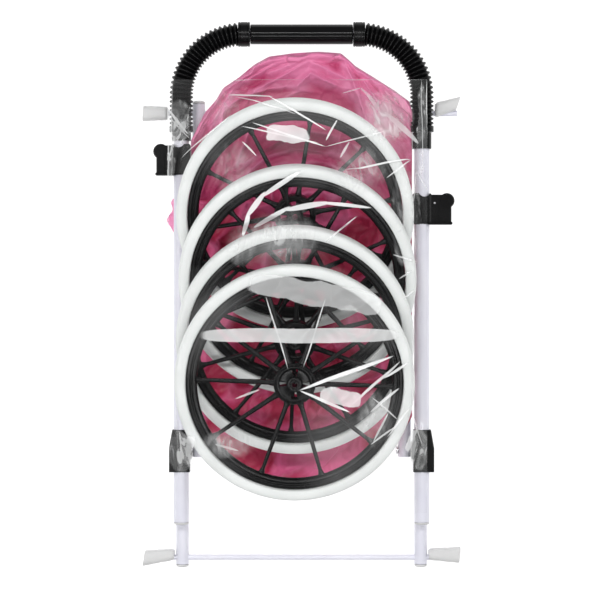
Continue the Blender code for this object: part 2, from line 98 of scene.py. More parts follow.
WHEEL_CENTRES = [
    (-0.008, 0.0980, 0.1075),
    (-0.005, 0.0180, 0.1105),
    (-0.008, -0.0555, 0.1155),
    (-0.0085, -0.1060, 0.1435),
]
WHEEL_TILTS = [math.radians(tilt) for tilt in (17, 17, 17, 10)]
WHEEL_TURNS = [math.radians(turn) for turn in (9, 25, 15.5, -2)]

FABRIC_HALF_X = 0.1381
CLOTH_FRAMES = 22
HOOD_HEM = 0.0085
HOOD_SPACING = 0.0020
HOOD_GROWTH = 0.04
BODY_SPACING = 0.0026
BODY_GROWTH = 0.08
SEAM_LAP = 0.004
SHEET_MARGIN = 0.0015
EDGE_ROLL = 0.007
PLATE_GAP = 0.0012
LOOP_START_Y = 0.062
LOOP_LENGTH = 0.078
LOOP_REACH = 0.034
LOOP_Z = 0.0198
LEG_OUTER_X = 0.160
SLEEVE_WALL = 0.0012
FILM_GAP = 0.004
FILM_FALL = 2.2
FILM_MARGIN = 0.001
FILM_WRINKLE = 0.0035
# Outline of the folded hood from its right corner over the peak to its left corner (x, y).
HOOD_OUTLINE = [
    (0.1395, 0.2250), (0.1340, 0.2420), (0.1170, 0.2550), (0.0914, 0.2714), (0.0676, 0.2860),
    (0.0493, 0.3020), (0.0217, 0.3040), (-0.0113, 0.3020), (-0.0406, 0.2980), (-0.0590, 0.2879),
    (-0.0791, 0.2714), (-0.0984, 0.2585), (-0.1066, 0.2439), (-0.1210, 0.2274), (-0.1395, 0.1900),
]
# Outline of the folded body below the hood, from its right corner round to its left corner.
BODY_OUTLINE = [
    (0.1395, -0.1500), (0.1290, -0.1680), (0.1100, -0.1900), (0.0850, -0.2140), (0.0500, -0.2270),
    (0.0000, -0.2300), (-0.0500, -0.2270), (-0.0900, -0.2110), (-0.1150, -0.1880), (-0.1300, -0.1600),
    (-0.1395, -0.1300),
]
# Main folds of the hood: crest from (x, y) to (x, y), height share and half width.
HOOD_FOLDS = [
    (0.020, 0.299, -0.041, 0.277, 0.55, 0.010), (-0.030, 0.290, -0.084, 0.260, 0.60, 0.008),
    (-0.084, 0.260, -0.112, 0.215, 0.60, 0.009), (0.011, 0.293, -0.030, 0.270, 0.50, 0.007),
    (-0.030, 0.270, -0.060, 0.256, 0.45, 0.007), (0.013, 0.291, 0.060, 0.268, 0.55, 0.008),
    (0.049, 0.302, 0.066, 0.262, 0.85, 0.010), (0.066, 0.262, 0.080, 0.220, 0.80, 0.010),
    (0.011, 0.277, -0.006, 0.260, 0.50, 0.006), (0.011, 0.277, 0.039, 0.263, 0.50, 0.006),
    (0.077, 0.268, 0.104, 0.228, 0.75, 0.008), (0.100, 0.258, 0.132, 0.222, 0.65, 0.008),
    (-0.094, 0.250, -0.100, 0.210, 0.50, 0.006), (-0.103, 0.244, -0.128, 0.200, 0.55, 0.006),
]
# Painted highlights on the film, partly real milky creases and folded-over strips: from (x, y) to (x,
# y), half width, strength.
GLINTS = [
    (-0.090, 0.244, -0.035, 0.238, 0.0011, 0.80), (-0.039, 0.238, 0.030, 0.198, 0.0011, 0.85),
    (-0.082, 0.241, -0.007, 0.217, 0.0008, 0.60), (-0.059, 0.206, 0.029, 0.179, 0.0012, 0.80),
    (-0.072, 0.202, 0.021, 0.183, 0.0010, 0.70), (0.030, 0.179, 0.113, 0.200, 0.0008, 0.60),
    (0.053, 0.151, 0.131, 0.164, 0.0012, 0.80), (0.131, 0.163, 0.101, 0.141, 0.0010, 0.60),
    (-0.070, 0.071, -0.063, 0.102, 0.0031, 0.75), (-0.066, 0.095, -0.043, 0.124, 0.0036, 0.75),
    (-0.048, 0.118, -0.002, 0.148, 0.0031, 0.70), (-0.057, 0.082, -0.014, 0.106, 0.0031, 0.65),
    (-0.021, 0.102, 0.034, 0.110, 0.0036, 0.70), (0.020, 0.110, 0.084, 0.106, 0.0022, 0.75),
    (-0.043, 0.193, 0.008, 0.193, 0.0096, 0.60), (0.047, 0.166, 0.058, 0.184, 0.0015, 0.50),
    (0.030, 0.186, 0.043, 0.210, 0.0013, 0.70), (0.099, 0.224, 0.144, 0.188, 0.0044, 0.60),
    (0.073, 0.256, 0.096, 0.220, 0.0030, 0.50), (0.049, 0.244, 0.073, 0.256, 0.0010, 0.70),
    (-0.146, 0.165, -0.084, 0.216, 0.0008, 0.60), (-0.072, 0.184, -0.055, 0.167, 0.0012, 0.60),
    (0.029, 0.063, 0.067, 0.095, 0.0011, 0.60), (-0.116, -0.048, 0.112, -0.048, 0.0088, 0.52),
    (-0.064, 0.016, 0.092, -0.012, 0.0150, 0.34), (0.024, -0.121, 0.068, -0.126, 0.0096, 0.55),
    (-0.001, -0.113, 0.108, -0.074, 0.0026, 0.80), (-0.001, -0.114, 0.057, -0.141, 0.0019, 0.75),
    (0.057, -0.134, 0.117, -0.081, 0.0018, 0.60), (0.084, -0.180, 0.114, -0.158, 0.0012, 0.60),
    (-0.042, -0.001, -0.016, -0.087, 0.0010, 0.60), (0.029, -0.004, 0.002, -0.085, 0.0010, 0.60),
    (0.084, -0.124, 0.116, -0.150, 0.0011, 0.50), (-0.080, -0.124, -0.050, -0.112, 0.0014, 0.45),
    (-0.104, -0.180, -0.076, -0.188, 0.0014, 0.50), (-0.160, 0.268, 0.156, 0.268, 0.0006, 0.50),
    (0.1560, 0.120, 0.1560, 0.268, 0.0008, 0.70), (0.1495, 0.150, 0.1495, 0.268, 0.0006, 0.50),
    (-0.1660, 0.080, -0.1660, 0.268, 0.0007, 0.60), (-0.1610, 0.100, -0.1610, 0.268, 0.0005, 0.40),
    (-0.166, 0.232, -0.138, 0.196, 0.0016, 0.60), (-0.164, 0.222, -0.136, 0.190, 0.0009, 0.50),
    (0.156, 0.130, 0.140, 0.152, 0.0008, 0.50), (0.140, 0.152, 0.134, 0.108, 0.0010, 0.55),
    (0.134, 0.108, 0.138, 0.048, 0.0008, 0.45), (0.138, 0.048, 0.134, -0.060, 0.0008, 0.40),
    (0.134, -0.060, 0.133, -0.140, 0.0010, 0.45), (0.133, -0.140, 0.150, -0.188, 0.0010, 0.50),
    (0.126, -0.188, 0.139, -0.164, 0.0060, 0.60), (-0.139, -0.196, -0.133, -0.172, 0.0050, 0.45),
    (-0.1515, -0.205, -0.1500, -0.060, 0.0006, 0.35), (0.081, -0.142, 0.116, -0.112, 0.0018, 0.60),
    (0.098, -0.100, 0.128, -0.082, 0.0016, 0.65), (0.087, -0.177, 0.104, -0.142, 0.0014, 0.55),
    (0.104, -0.171, 0.134, -0.130, 0.0011, 0.60), (0.110, 0.049, 0.141, 0.039, 0.0011, 0.55),
    (0.116, 0.019, 0.134, 0.031, 0.0010, 0.50), (0.122, -0.005, 0.137, 0.008, 0.0010, 0.50),
]
# Cloudy places of the film where it lies double, brightened by painted glare: middle (x, y), half sizes
# and strength.
HAZES_AND_GLARE = [
    (-0.025, 0.066, 0.050, 0.036, 0.34), (0.104, 0.216, 0.034, 0.044, 0.60),
    (0.068, 0.150, 0.040, 0.034, 0.26), (-0.080, 0.152, 0.036, 0.038, 0.15),
    (-0.092, 0.226, 0.032, 0.034, 0.18), (-0.088, -0.180, 0.034, 0.020, 0.32),
    (0.086, -0.150, 0.026, 0.040, 0.26), (-0.070, 0.060, 0.024, 0.026, 0.24),
]
# Crinkled places of the film, lit with painted glints: middle (x, y), half sizes and strength.
CRINKLE_GLINTS = [
    (-0.152, 0.212, 0.018, 0.032, 0.80),
    (-0.164, 0.160, 0.006, 0.040, 0.90),
    (-0.148, -0.192, 0.018, 0.030, 0.80),
    (0.146, -0.192, 0.014, 0.028, 0.80),
    (0.150, 0.205, 0.008, 0.062, 0.55),
    (0.128, 0.100, 0.020, 0.070, 0.30),
]
FINE_SHIFT = 0.006
ROUGH_SHIFT = 0.016
WIDE_GLINT = 0.0045
LONG_GLINT = 7.0
HARD_EDGE = 0.88
SOFT_EDGE = 0.35
VEIL_ZONE = (0.14, 0.25)
VEIL_STRENGTH = 0.020

# Studio: each light's name, place, size and power.
LIGHTS = [
    ("far_strip", (0, 0.78, 2.25), (2.4, 0.12), 22),
    ("near_strip", (0, -0.78, 2.25), (2.4, 0.12), 17),
    ("left_box", (-1.5, 0.3, 1.5), (0.9, 0.9), 11),
    ("right_box", (1.6, 0.2, 1.4), (0.9, 0.9), 7),
]
LIGHT_TARGET = (0, 0, 0.05)
WORLD_STRENGTH = 0.34
FLOOR_GLOW = 0.92
CAMERA_LENS = 144
CAMERA_SENSOR = 36
CAMERA_PLACE = (-0.002, -0.006, 3.035)
FLOOR_HALF = 4
FLOOR_GAP = 0.0005


# --- node materials -------------------------------------------------------------------------------

class Shader:
    """A Principled material with a few short ways to wire texture nodes into it."""

    def __init__(self, name, colour, roughness, metallic=0.0):
        self.material = bpy.data.materials.new(name)
        self.material.use_nodes = True
        self.tree = self.material.node_tree
        self.main = self.tree.nodes["Principled BSDF"]
        self.set("Base Color", (*colour, 1.0))
        self.set("Roughness", roughness)
        self.set("Metallic", metallic)
        self.coordinates = self.node("ShaderNodeTexCoord")

    def node(self, kind, **values):
        made = self.tree.nodes.new(kind)
        for key, value in values.items():
            setattr(made, key, value)
        return made

    def set(self, socket, value):
        self.main.inputs[socket].default_value = value

    def link(self, source, target):
        self.tree.links.new(source, target)

    def noise(self, scale, detail=4.0, roughness=0.5, distortion=0.0, stretch=None, kind="FBM"):
        texture = self.node("ShaderNodeTexNoise", noise_type=kind)
        texture.inputs["Scale"].default_value = scale
        texture.inputs["Detail"].default_value = detail
        texture.inputs["Roughness"].default_value = roughness
        texture.inputs["Distortion"].default_value = distortion
        source = self.coordinates.outputs["Object"]
        if stretch:
            mapping = self.node("ShaderNodeMapping")
            mapping.inputs["Rotation"].default_value = (0, 0, stretch[0])
            mapping.inputs["Scale"].default_value = stretch[1]
            self.link(source, mapping.inputs["Vector"])
            source = mapping.outputs["Vector"]
        self.link(source, texture.inputs["Vector"])
        return texture.outputs["Fac"]

    def ramp(self, source, stops):
        ramp = self.node("ShaderNodeValToRGB")
        while len(ramp.color_ramp.elements) < len(stops):
            ramp.color_ramp.elements.new(0.5)
        for element, (place, colour) in zip(ramp.color_ramp.elements, stops):
            element.position = place
            shade = colour if isinstance(colour, tuple) else (colour, colour, colour)
            element.color = (*shade, 1.0)
        self.link(source, ramp.inputs["Fac"])
        return ramp.outputs["Color"]

    def remap(self, source, low, high, top=1.0):
        """Bring a value from the range low to high into 0 to top."""
        share = self.node("ShaderNodeMapRange")
        share.inputs["From Min"].default_value = low
        share.inputs["From Max"].default_value = high
        share.inputs["To Max"].default_value = top
        self.link(source, share.inputs["Value"])
        return share.outputs["Result"]

    def along(self, axis, low, high, top=1.0):
        """The same for the object's own coordinate on one axis."""
        split = self.node("ShaderNodeSeparateXYZ")
        self.link(self.coordinates.outputs["Object"], split.inputs["Vector"])
        return self.remap(split.outputs[axis], low, high, top)

    def add(self, first, second, operation="ADD"):
        maths = self.node("ShaderNodeMath", operation=operation)
        for index, value in enumerate((first, second)):
            if isinstance(value, (int, float)):
                maths.inputs[index].default_value = value
            else:
                self.link(value, maths.inputs[index])
        return maths.outputs["Value"]

    def bump(self, height, strength, distance):
        bump = self.node("ShaderNodeBump")
        bump.inputs["Strength"].default_value = strength
        bump.inputs["Distance"].default_value = distance
        self.link(height, bump.inputs["Height"])
        self.link(bump.outputs["Normal"], self.main.inputs["Normal"])
        return self


def white_coat():
    shader = Shader("white_powder_coat", (0.74, 0.74, 0.82), 0.34)
    grain = shader.noise(900, 2.0)
    tone = shader.ramp(shader.noise(14, 2.0), [(0.35, (0.70, 0.70, 0.79)), (0.7, (0.79, 0.79, 0.86))])
    shader.link(tone, shader.main.inputs["Base Color"])
    shader.set("Coat Weight", 0.25)
    return shader.bump(grain, 0.06, 0.0004).material


def white_foam():
    shader = Shader("white_foam", (0.72, 0.74, 0.73), 0.55)
    tone = shader.ramp(shader.noise(22, 3.0), [(0.3, (0.66, 0.68, 0.67)), (0.75, (0.76, 0.78, 0.77))])
    shader.link(tone, shader.main.inputs["Base Color"])
    return shader.bump(shader.noise(1400, 2.0), 0.12, 0.0004).material


def sleeve_plastic():
    shader = Shader("white_polyethylene_sleeve", (0.62, 0.62, 0.62), 0.50)
    shader.set("Subsurface Weight", 0.2)
    shader.set("Subsurface Radius", (0.004, 0.004, 0.004))
    return shader.bump(shader.noise(160, 5.0, 0.6), 0.25, 0.0012).material


def black_shader(name, colour, roughness, scale, depth):
    """Black plastic that keeps its highlights but mirrors little of a bright room."""
    shader = Shader(name, (colour, colour, colour * 1.1), roughness)
    shader.set("Specular IOR Level", 0.17)
    rough = shader.ramp(shader.noise(scale, 3.0), [(0.3, roughness * 0.8), (0.75, roughness * 1.25)])
    shader.link(rough, shader.main.inputs["Roughness"])
    return shader.bump(shader.noise(scale * 4, 2.0), 0.10, depth).material


def bright_steel():
    shader = Shader("zinc_plated_steel", (0.62, 0.62, 0.64), 0.30, 1.0)
    rough = shader.ramp(shader.noise(300, 3.0), [(0.3, 0.24), (0.8, 0.40)])
    shader.link(rough, shader.main.inputs["Roughness"])
    return shader.material


def fibre_board():
    shader = Shader("fibre_board", (0.22, 0.22, 0.23), 0.85)
    tone = shader.ramp(shader.noise(90, 5.0), [(0.3, (0.16, 0.16, 0.17)), (0.8, (0.26, 0.26, 0.27))])
    shader.link(tone, shader.main.inputs["Base Color"])
    return shader.material


def pink_nylon(name, lit_colour, deep, low_z, high_z):
    """Thin shiny nylon with painted shade: pale lit colour on the crests, deep shade colour between the
    folds, with a weave and small creases.
    """
    shader = Shader(name, lit_colour, 0.40)
    mottle = shader.add(shader.noise(16, 4.0, 0.6, 0.6), 0.5, "SUBTRACT")
    # Painted shade: the colour ramps by height from the deep shade colour low in the folds to the lit
    # colour on the crests, with random mottle.
    share = shader.add(shader.along("Z", low_z, high_z), shader.add(mottle, 0.5, "MULTIPLY"))
    tone = shader.ramp(share, [(0.24, deep), (0.68, lit_colour)])
    shader.link(tone, shader.main.inputs["Base Color"])
    shader.set("Specular IOR Level", 0.35)
    shader.set("Sheen Weight", 0.12)
    shader.set("Sheen Roughness", 0.35)
    shader.set("Sheen Tint", (1.0, 0.70, 0.88, 1.0))
    creases = shader.noise(30, 3.0, 0.5, 1.2, kind="RIDGED_MULTIFRACTAL")
    weave = shader.noise(1500, 1.0)
    relief = shader.add(shader.add(creases, 0.6, "MULTIPLY"), shader.add(weave, 0.05, "MULTIPLY"))
    return shader.bump(relief, 0.30, 0.0020).material


def wobbled(shader, scale, detail, amount):
    """Object coordinates pushed about by noise, by at most this amount."""
    shift = shader.node("ShaderNodeVectorMath", operation="MULTIPLY_ADD")
    wobble = shader.node("ShaderNodeTexNoise")
    wobble.inputs["Scale"].default_value = scale
    wobble.inputs["Detail"].default_value = detail
    shader.link(shader.coordinates.outputs["Object"], wobble.inputs["Vector"])
    shader.link(wobble.outputs["Color"], shift.inputs[0])
    shift.inputs[1].default_value = (amount, amount, 0.0)
    shader.link(shader.coordinates.outputs["Object"], shift.inputs[2])
    return shift.outputs["Vector"]


def oval_mark(shader, source, middle, offset, turn, half_sizes, strength, square=False,
              edge=HARD_EDGE):
    """An oval of this strength, seen from above; a long thin one reads as a crease glint."""
    mapping = shader.node("ShaderNodeMapping", vector_type="TEXTURE")
    mapping.inputs["Location"].default_value = (middle[0] + offset, middle[1] + offset, 0)
    mapping.inputs["Rotation"].default_value = (0, 0, turn)
    mapping.inputs["Scale"].default_value = (*half_sizes, 1000.0)
    shader.link(source, mapping.inputs["Vector"])
    place = mapping.outputs["Vector"]
    if square:
        squared = shader.node("ShaderNodeVectorMath", operation="MULTIPLY")
        shader.link(place, squared.inputs[0])
        shader.link(place, squared.inputs[1])
        place = squared.outputs["Vector"]
    reach = shader.node("ShaderNodeVectorMath", operation="LENGTH")
    shader.link(place, reach.inputs[0])
    return shader.remap(reach.outputs["Value"], 1.0, edge, strength)


def clear_film():
    """Nearly invisible film with painted highlights: white glints along straight creases and folded-over
    strips, partly real milky film.
    """
    shader = Shader("clear_film", (0.93, 0.94, 0.94), 0.22)
    fine = wobbled(shader, 12.0, 1.0, FINE_SHIFT)
    rough = wobbled(shader, 30.0, 3.0, ROUGH_SHIFT)
    total = None
    # Painted highlights: each crease glint is a white oval mark on the film.
    for start_x, start_y, end_x, end_y, half_width, strength in GLINTS:
        half_length = math.hypot(end_x - start_x, end_y - start_y) / 2
        middle = ((start_x + end_x) / 2, (start_y + end_y) / 2)
        turn = math.atan2(end_y - start_y, end_x - start_x)
        wide = half_width > WIDE_GLINT
        long = half_length > LONG_GLINT * half_width
        source = rough if wide and not long else fine
        offset = ROUGH_SHIFT / 2 if source is rough else FINE_SHIFT / 2
        half_sizes = (half_length * 1.05, half_width)
        glint_mark = oval_mark(shader, source, middle, offset, turn, half_sizes, strength, wide)
        total = glint_mark if total is None else shader.add(total, glint_mark, "MAXIMUM")
    streak_glints = shader.noise(60, 3.0, 0.5, 1.5, (0.4, (1.0, 0.5, 0.2)), "RIDGED_MULTIFRACTAL")
    facets = shader.noise(60, 1.0, 0.5, 2.0, (0.5, (1.0, 0.45, 0.2)))
    # Painted glints on the crinkles: facet noise picks out bright flecks.
    bright = shader.ramp(facets, [(0.40, 0.12), (0.50, 0.26), (0.57, 0.32), (0.60, 0.62)])
    for x, y, half_x, half_y, strength in CRINKLE_GLINTS:
        crinkle_zone = oval_mark(shader, rough, (x, y), ROUGH_SHIFT / 2, 0.0, (half_x, half_y), strength)
        total = shader.add(total, shader.add(crinkle_zone, bright, "MULTIPLY"), "MAXIMUM")
    # Painted glare: cloudy patches broken up by facet noise.
    glare_patches = shader.ramp(facets, [(0.36, 0.55), (0.47, 0.75), (0.55, 0.95), (0.59, 1.20)])
    for x, y, half_x, half_y, strength in HAZES_AND_GLARE:
        glare_cloud = oval_mark(shader, rough, (x, y), ROUGH_SHIFT / 2, 0.0, (half_x, half_y), strength,
                          edge=SOFT_EDGE)
        total = shader.add(total, shader.add(glare_cloud, glare_patches, "MULTIPLY"), "MAXIMUM")
    # Painted highlights: thin glare streaks along crackle lines, shown only in scattered places.
    thin = shader.ramp(streak_glints, [(0.93, 0.0), (1.0, 0.50)])
    where = shader.ramp(shader.noise(11, 2.0), [(0.52, 0.0), (0.60, 1.0)])
    alpha = shader.add(total, shader.add(thin, where, "MULTIPLY"), "MAXIMUM")
    haze = shader.ramp(shader.noise(7.0, 2.0, 0.5, 0.4), [(0.46, 0.003), (0.64, 0.060)])
    veil = shader.along("Y", *VEIL_ZONE, VEIL_STRENGTH)
    alpha = shader.add(alpha, shader.add(haze, veil), "MAXIMUM")
    shader.link(alpha, shader.main.inputs["Alpha"])
    creases = shader.noise(24, 5.0, 0.6, 1.0, (0.3, (1.0, 0.5, 1.0)), "RIDGED_MULTIFRACTAL")
    return shader.bump(creases, 0.4, 0.002).material


MATERIALS = {
    "coat": white_coat(),
    "foam": white_foam(),
    "sleeve": sleeve_plastic(),
    "black": black_shader("black_moulding", 0.0032, 0.24, 24, 0.00006),
    "hose": black_shader("ribbed_hose", 0.0030, 0.24, 24, 0.00006),
    "gloss": black_shader("polished_black", 0.0030, 0.12, 40, 0.00004),
    "steel": bright_steel(),
    "board": fibre_board(),
    # Nylon: lit colour, painted shade colour, and the heights between which the painted shade fades out.
    "hood": pink_nylon("pink_nylon_hood", (0.72, 0.200, 0.375), (0.43, 0.028, 0.12), 0.030, 0.046),
    "body": pink_nylon("pink_nylon_body", (0.74, 0.110, 0.275), (0.43, 0.012, 0.065), 0.028, 0.046),
    "loop": pink_nylon("pink_nylon_loop", (0.86, 0.30, 0.52), (0.66, 0.08, 0.28), 0.008, 0.020),
    "film": clear_film(),
}
SLOTS = {"coat": "white_paint", "foam": "foam", "sleeve": "white_sleeve", "black": "black_plastic",
         "hose": "black_plastic", "gloss": "gloss_black", "steel": "steel", "board": "board",
         "hood": "nylon", "body": "nylon", "loop": "nylon", "film": "film"}


# --- mesh building --------------------------------------------------------------------------------

def as_mesh(name, mesh_data):
    """Turn a bmesh into a mesh and let the bmesh go."""
    mesh = bpy.data.meshes.new(name)
    mesh_data.to_mesh(mesh)
    mesh_data.free()
    return mesh


def new_object(name, data):
    """Make an object and put it in the scene."""
    made = bpy.data.objects.new(name, data)
    bpy.context.collection.objects.link(made)
    return made


def add_piece(name, mesh_data, material, body, nodes=(), matrix=None, sharp=40):
    """Make a shown piece from a bmesh, let it ride on its body and stand for its CAD nodes."""
    bmesh.ops.recalc_face_normals(mesh_data, faces=mesh_data.faces)
    mesh = as_mesh(name, mesh_data)
    if matrix is not None:
        mesh.transform(matrix)
    mesh.shade_smooth()
    mesh.set_sharp_from_angle(angle=math.radians(sharp))
    piece = new_object(name, mesh)
    mesh.materials.append(MATERIALS[material])
    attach(piece, body)
    if nodes:
        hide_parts(*nodes)
    return piece


def bridge(mesh_data, first, second):
    count = len(first)
    for index in range(count):
        following = (index + 1) % count
        mesh_data.faces.new((first[index], first[following], second[following], second[index]))


def skin(mesh_data, stations, segments, shape=None):
    """Rings of vertices along (point, forward, radius) stations, bridged one to the next."""
    rings = []
    for point, forward, radius in stations:
        side = forward.cross(Vector((0, 0, 1))).normalized()
        up = side.cross(forward)
        ring = []
        for index in range(segments):
            angle = 2 * math.pi * index / segments
            reach = radius * (shape(angle) if shape else 1.0)
            offset = side * reach * math.cos(angle) + up * reach * math.sin(angle)
            ring.append(mesh_data.verts.new(point + offset))
        rings.append(ring)
    for first, second in zip(rings, rings[1:]):
        bridge(mesh_data, first, second)
    return rings


def fill_grid(mesh_data, grid):
    """Faces between the rows of a grid of vertices."""
    for near, far in zip(grid, grid[1:]):
        for column in range(len(near) - 1):
            mesh_data.faces.new((near[column], near[column + 1], far[column + 1], far[column]))


def path_stations(points, radius):
    points = [Vector(point) for point in points]
    stations = []
    for index, point in enumerate(points):
        before = points[max(index - 1, 0)]
        after = points[min(index + 1, len(points) - 1)]
        stations.append((point, (after - before).normalized(), radius))
    return stations


def hollow_tube(points, outer, inner, segments=40, edge=0.0006, shape=None):
    """Tube with rounded rims at both ends."""
    result = bmesh.new()
    stations = path_stations(points, outer)
    first_point, first_forward, _ = stations[0]
    last_point, last_forward, _ = stations[-1]
    lead = [(first_point, first_forward, outer - edge),
            (first_point + first_forward * edge * 0.3, first_forward, outer - edge * 0.3),
            (first_point + first_forward * edge, first_forward, outer)]
    tail = [(last_point - last_forward * edge, last_forward, outer),
            (last_point - last_forward * edge * 0.3, last_forward, outer - edge * 0.3),
            (last_point, last_forward, outer - edge)]
    outside = skin(result, lead + stations[1:-1] + tail, segments, shape)
    inside = skin(result, path_stations(points, inner), segments)
    bridge(result, inside[0], outside[0])
    bridge(result, outside[-1], inside[-1])
    return result


def lathe(profile, segments):
    """Revolve a closed outline of (radius, height) pairs about the local Z axis."""
    result = bmesh.new()
    rings = []
    for radius, height in profile:
        ring = []
        for index in range(segments):
            angle = 2 * math.pi * index / segments
            ring.append(result.verts.new((radius * math.cos(angle), radius * math.sin(angle), height)))
        rings.append(ring)
    for first, second in zip(rings, rings[1:] + rings[:1]):
        bridge(result, first, second)
    return result


def rounded(corners, radius, steps=4):
    """Round every corner of a closed outline of (u, v) points with a small arc."""
    result = []
    count = len(corners)
    for index, corner in enumerate(corners):
        corner = Vector(corner)
        before = Vector(corners[index - 1]) - corner
        after = Vector(corners[(index + 1) % count]) - corner
        reach = min(radius, before.length / 2.2, after.length / 2.2)
        start = corner + before.normalized() * reach
        end = corner + after.normalized() * reach
        for step in range(steps + 1):
            share = step / steps
            point = start * (1 - share) ** 2 + corner * 2 * share * (1 - share) + end * share ** 2
            result.append((point.x, point.y))
    return result


# --- tubes and handle -----------------------------------------------------------------------------

def straight_tube(name, node, body, wall, material="coat"):
    """A tube along Y with the CAD tube's own size and place."""
    low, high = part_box(node)
    radius = (high[0] - low[0]) / 2 / math.cos(math.pi / CAD_TUBE_SIDES)
    middle_x = (low[0] + high[0]) / 2
    middle_z = (low[2] + high[2]) / 2
    points = [(middle_x, y, middle_z) for y in (low[1], (low[1] + high[1]) / 2, high[1])]
    add_piece(name, hollow_tube(points, radius, radius - wall), material, body, [node])


def make_tubes():
    for side in SIDES:
        straight_tube(f"rail_tube_{side}", f"rail_{side}", "frame", TUBE_WALL)
        straight_tube(f"front_leg_tube_{side}", f"front_leg_{side}", "front_legs", TUBE_WALL)
        straight_tube(f"rear_leg_tube_{side}", f"rear_leg_{side}", "rear_legs", TUBE_WALL)
        straight_tube(f"hose_cuff_{side}", f"cuff_{side}", "handle", CUFF_WALL, "black")


def handle_arc(sign, from_angle, to_angle, steps):
    points = []
    for index in range(steps + 1):
        angle = math.radians(from_angle + (to_angle - from_angle) * index / steps)
        x = sign * (BEND_X + BEND_R * math.sin(angle))
        points.append(Vector((x, BEND_Y + BEND_R * math.cos(angle), RAIL_Z)))
    return points


def rib_radius(distance):
    """Radius of the ribbed hose at this distance along it: thin round ribs with deep valleys."""
    phase = (distance / RIB_PITCH) % 1.0
    swell = math.sin(math.pi * phase) ** 1.3
    return HOSE_VALLEY_R + (HOSE_CREST_R - HOSE_VALLEY_R) * swell


def ribbed_hose(side, sign):
    """Corrugated hose over the bend and the top of the straight, with a plain ring at its low end."""
    low_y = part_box(f"hose_{side}")[0][1]
    arc_length = (math.pi / 2 - HOSE_START) * BEND_R
    total = arc_length + (BEND_Y - low_y)
    ribs = round((total - HOSE_RING_LENGTH) / RIB_PITCH)
    pitch = (total - HOSE_RING_LENGTH) / ribs
    stations = []
    for index in range(ribs * RIB_SAMPLES + 1):
        distance = index * pitch / RIB_SAMPLES
        if distance < arc_length:
            angle = HOSE_START + distance / BEND_R
            x = sign * (BEND_X + BEND_R * math.sin(angle))
            point = Vector((x, BEND_Y + BEND_R * math.cos(angle), RAIL_Z))
            forward = Vector((sign * math.cos(angle), -math.sin(angle), 0))
        else:
            point = Vector((sign * RAIL_X, BEND_Y - (distance - arc_length), RAIL_Z))
            forward = Vector((0, -1, 0))
        stations.append((point, forward, rib_radius(distance * RIB_PITCH / pitch)))
    down = Vector((0, -1, 0))
    end = Vector((sign * RAIL_X, low_y, RAIL_Z))
    ring = ((HOSE_RING_LENGTH - 0.0005, 0.0008), (HOSE_RING_LENGTH - 0.0012, 0.0), (0.0010, 0.0),
            (0.0003, 0.0004), (0.0, 0.0010))
    for rise, inset in ring:
        stations.append((end - down * rise, down, HOSE_CREST_R - inset))
    result = bmesh.new()
    outside = skin(result, stations, 40)
    between = [point for point, _, _ in stations[RIB_SAMPLES::RIB_SAMPLES * 2]]
    inner_points = [stations[0][0], *between, end]
    inside = skin(result, path_stations(inner_points, HANDLE_R + HOSE_CLEARANCE), 40)
    bridge(result, inside[0], outside[0])
    bridge(result, outside[-1], inside[-1])
    add_piece(f"ribbed_hose_{side}", result, "hose", "handle", [f"hose_{side}"], sharp=60)


def grip_shape(angle):
    """Round section with two fine mould lines along the grip."""
    groove = 0.0
    for line in GRIP_LINES:
        groove += math.exp(-((angle - line) / 0.05) ** 2)
    return 1.0 - 0.035 * groove


def end_ring(side, sign):
    """Moulded ring at one end of the grip, with two turned grooves."""
    low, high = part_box(f"grip_collar_{side}")
    near, far = sorted((low[0], high[0]), key=abs)
    forward = Vector((sign, 0, 0))

    def station(x, radius):
        return (Vector((x, GRIP_Y, RAIL_Z)), forward, radius)

    stations = [station(near, RING_EDGE_R), station(near + sign * RING_EDGE, RING_R)]
    for groove in (0.16, 0.76):
        for step, radius in enumerate((RING_R, RING_GROOVE_R, RING_GROOVE_R, RING_R)):
            share = groove + (0.0, 0.02, 0.06, 0.08)[step]
            stations.append(station(near + (far - near) * share, radius))
    stations += [station(far - sign * RING_EDGE, RING_R), station(far, RING_EDGE_R)]
    result = bmesh.new()
    outside = skin(result, stations, 48)
    inside = skin(result, [station(near, RING_BORE_R), station(far, RING_BORE_R)], 48)
    bridge(result, inside[0], outside[0])
    bridge(result, outside[-1], inside[-1])
    add_piece(f"grip_end_ring_{side}", result, "black", "handle", [f"grip_collar_{side}"])


def make_handle():
    route = [Vector((-RAIL_X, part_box("handle_tube")[0][1], RAIL_Z))] + handle_arc(-1, 90, 0, 24)
    route += handle_arc(1, 0, 90, 24) + [Vector((RAIL_X, route[0].y, RAIL_Z))]
    tube = hollow_tube(route, HANDLE_R, HANDLE_BORE_R)
    add_piece("bent_handle_tube", tube, "coat", "handle", ["handle_tube"])
    low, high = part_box("grip")
    points = [(x, GRIP_Y, RAIL_Z) for x in (low[0], 0.0, high[0])]
    grip = hollow_tube(points, GRIP_R, HANDLE_R + 0.0004, 96, 0.0012, grip_shape)
    add_piece("moulded_grip", grip, "gloss", "handle", ["grip"], sharp=50)
    for side, sign in SIDES.items():
        end_ring(side, sign)
        ribbed_hose(side, sign)


# --- wheels ---------------------------------------------------------------------------------------

def tyre_outline():
    """Rounded foam tyre section that bulges a little past the rim."""
    half = TYRE_WIDTH / 2
    inner = SEAT_R + 0.0004
    shoulder = 0.0062
    points = [(inner, -half + 0.0016), (inner + 0.0016, -half)]
    for step in range(15):
        angle = -math.pi / 2 + math.pi * step / 14
        reach = shoulder * math.cos(angle) ** 0.6
        height = half * math.copysign(abs(math.sin(angle)) ** 0.8, math.sin(angle))
        points.append((WHEEL_R - shoulder + reach, height))
    points += [(inner + 0.0016, half), (inner, half - 0.0016)]
    return points


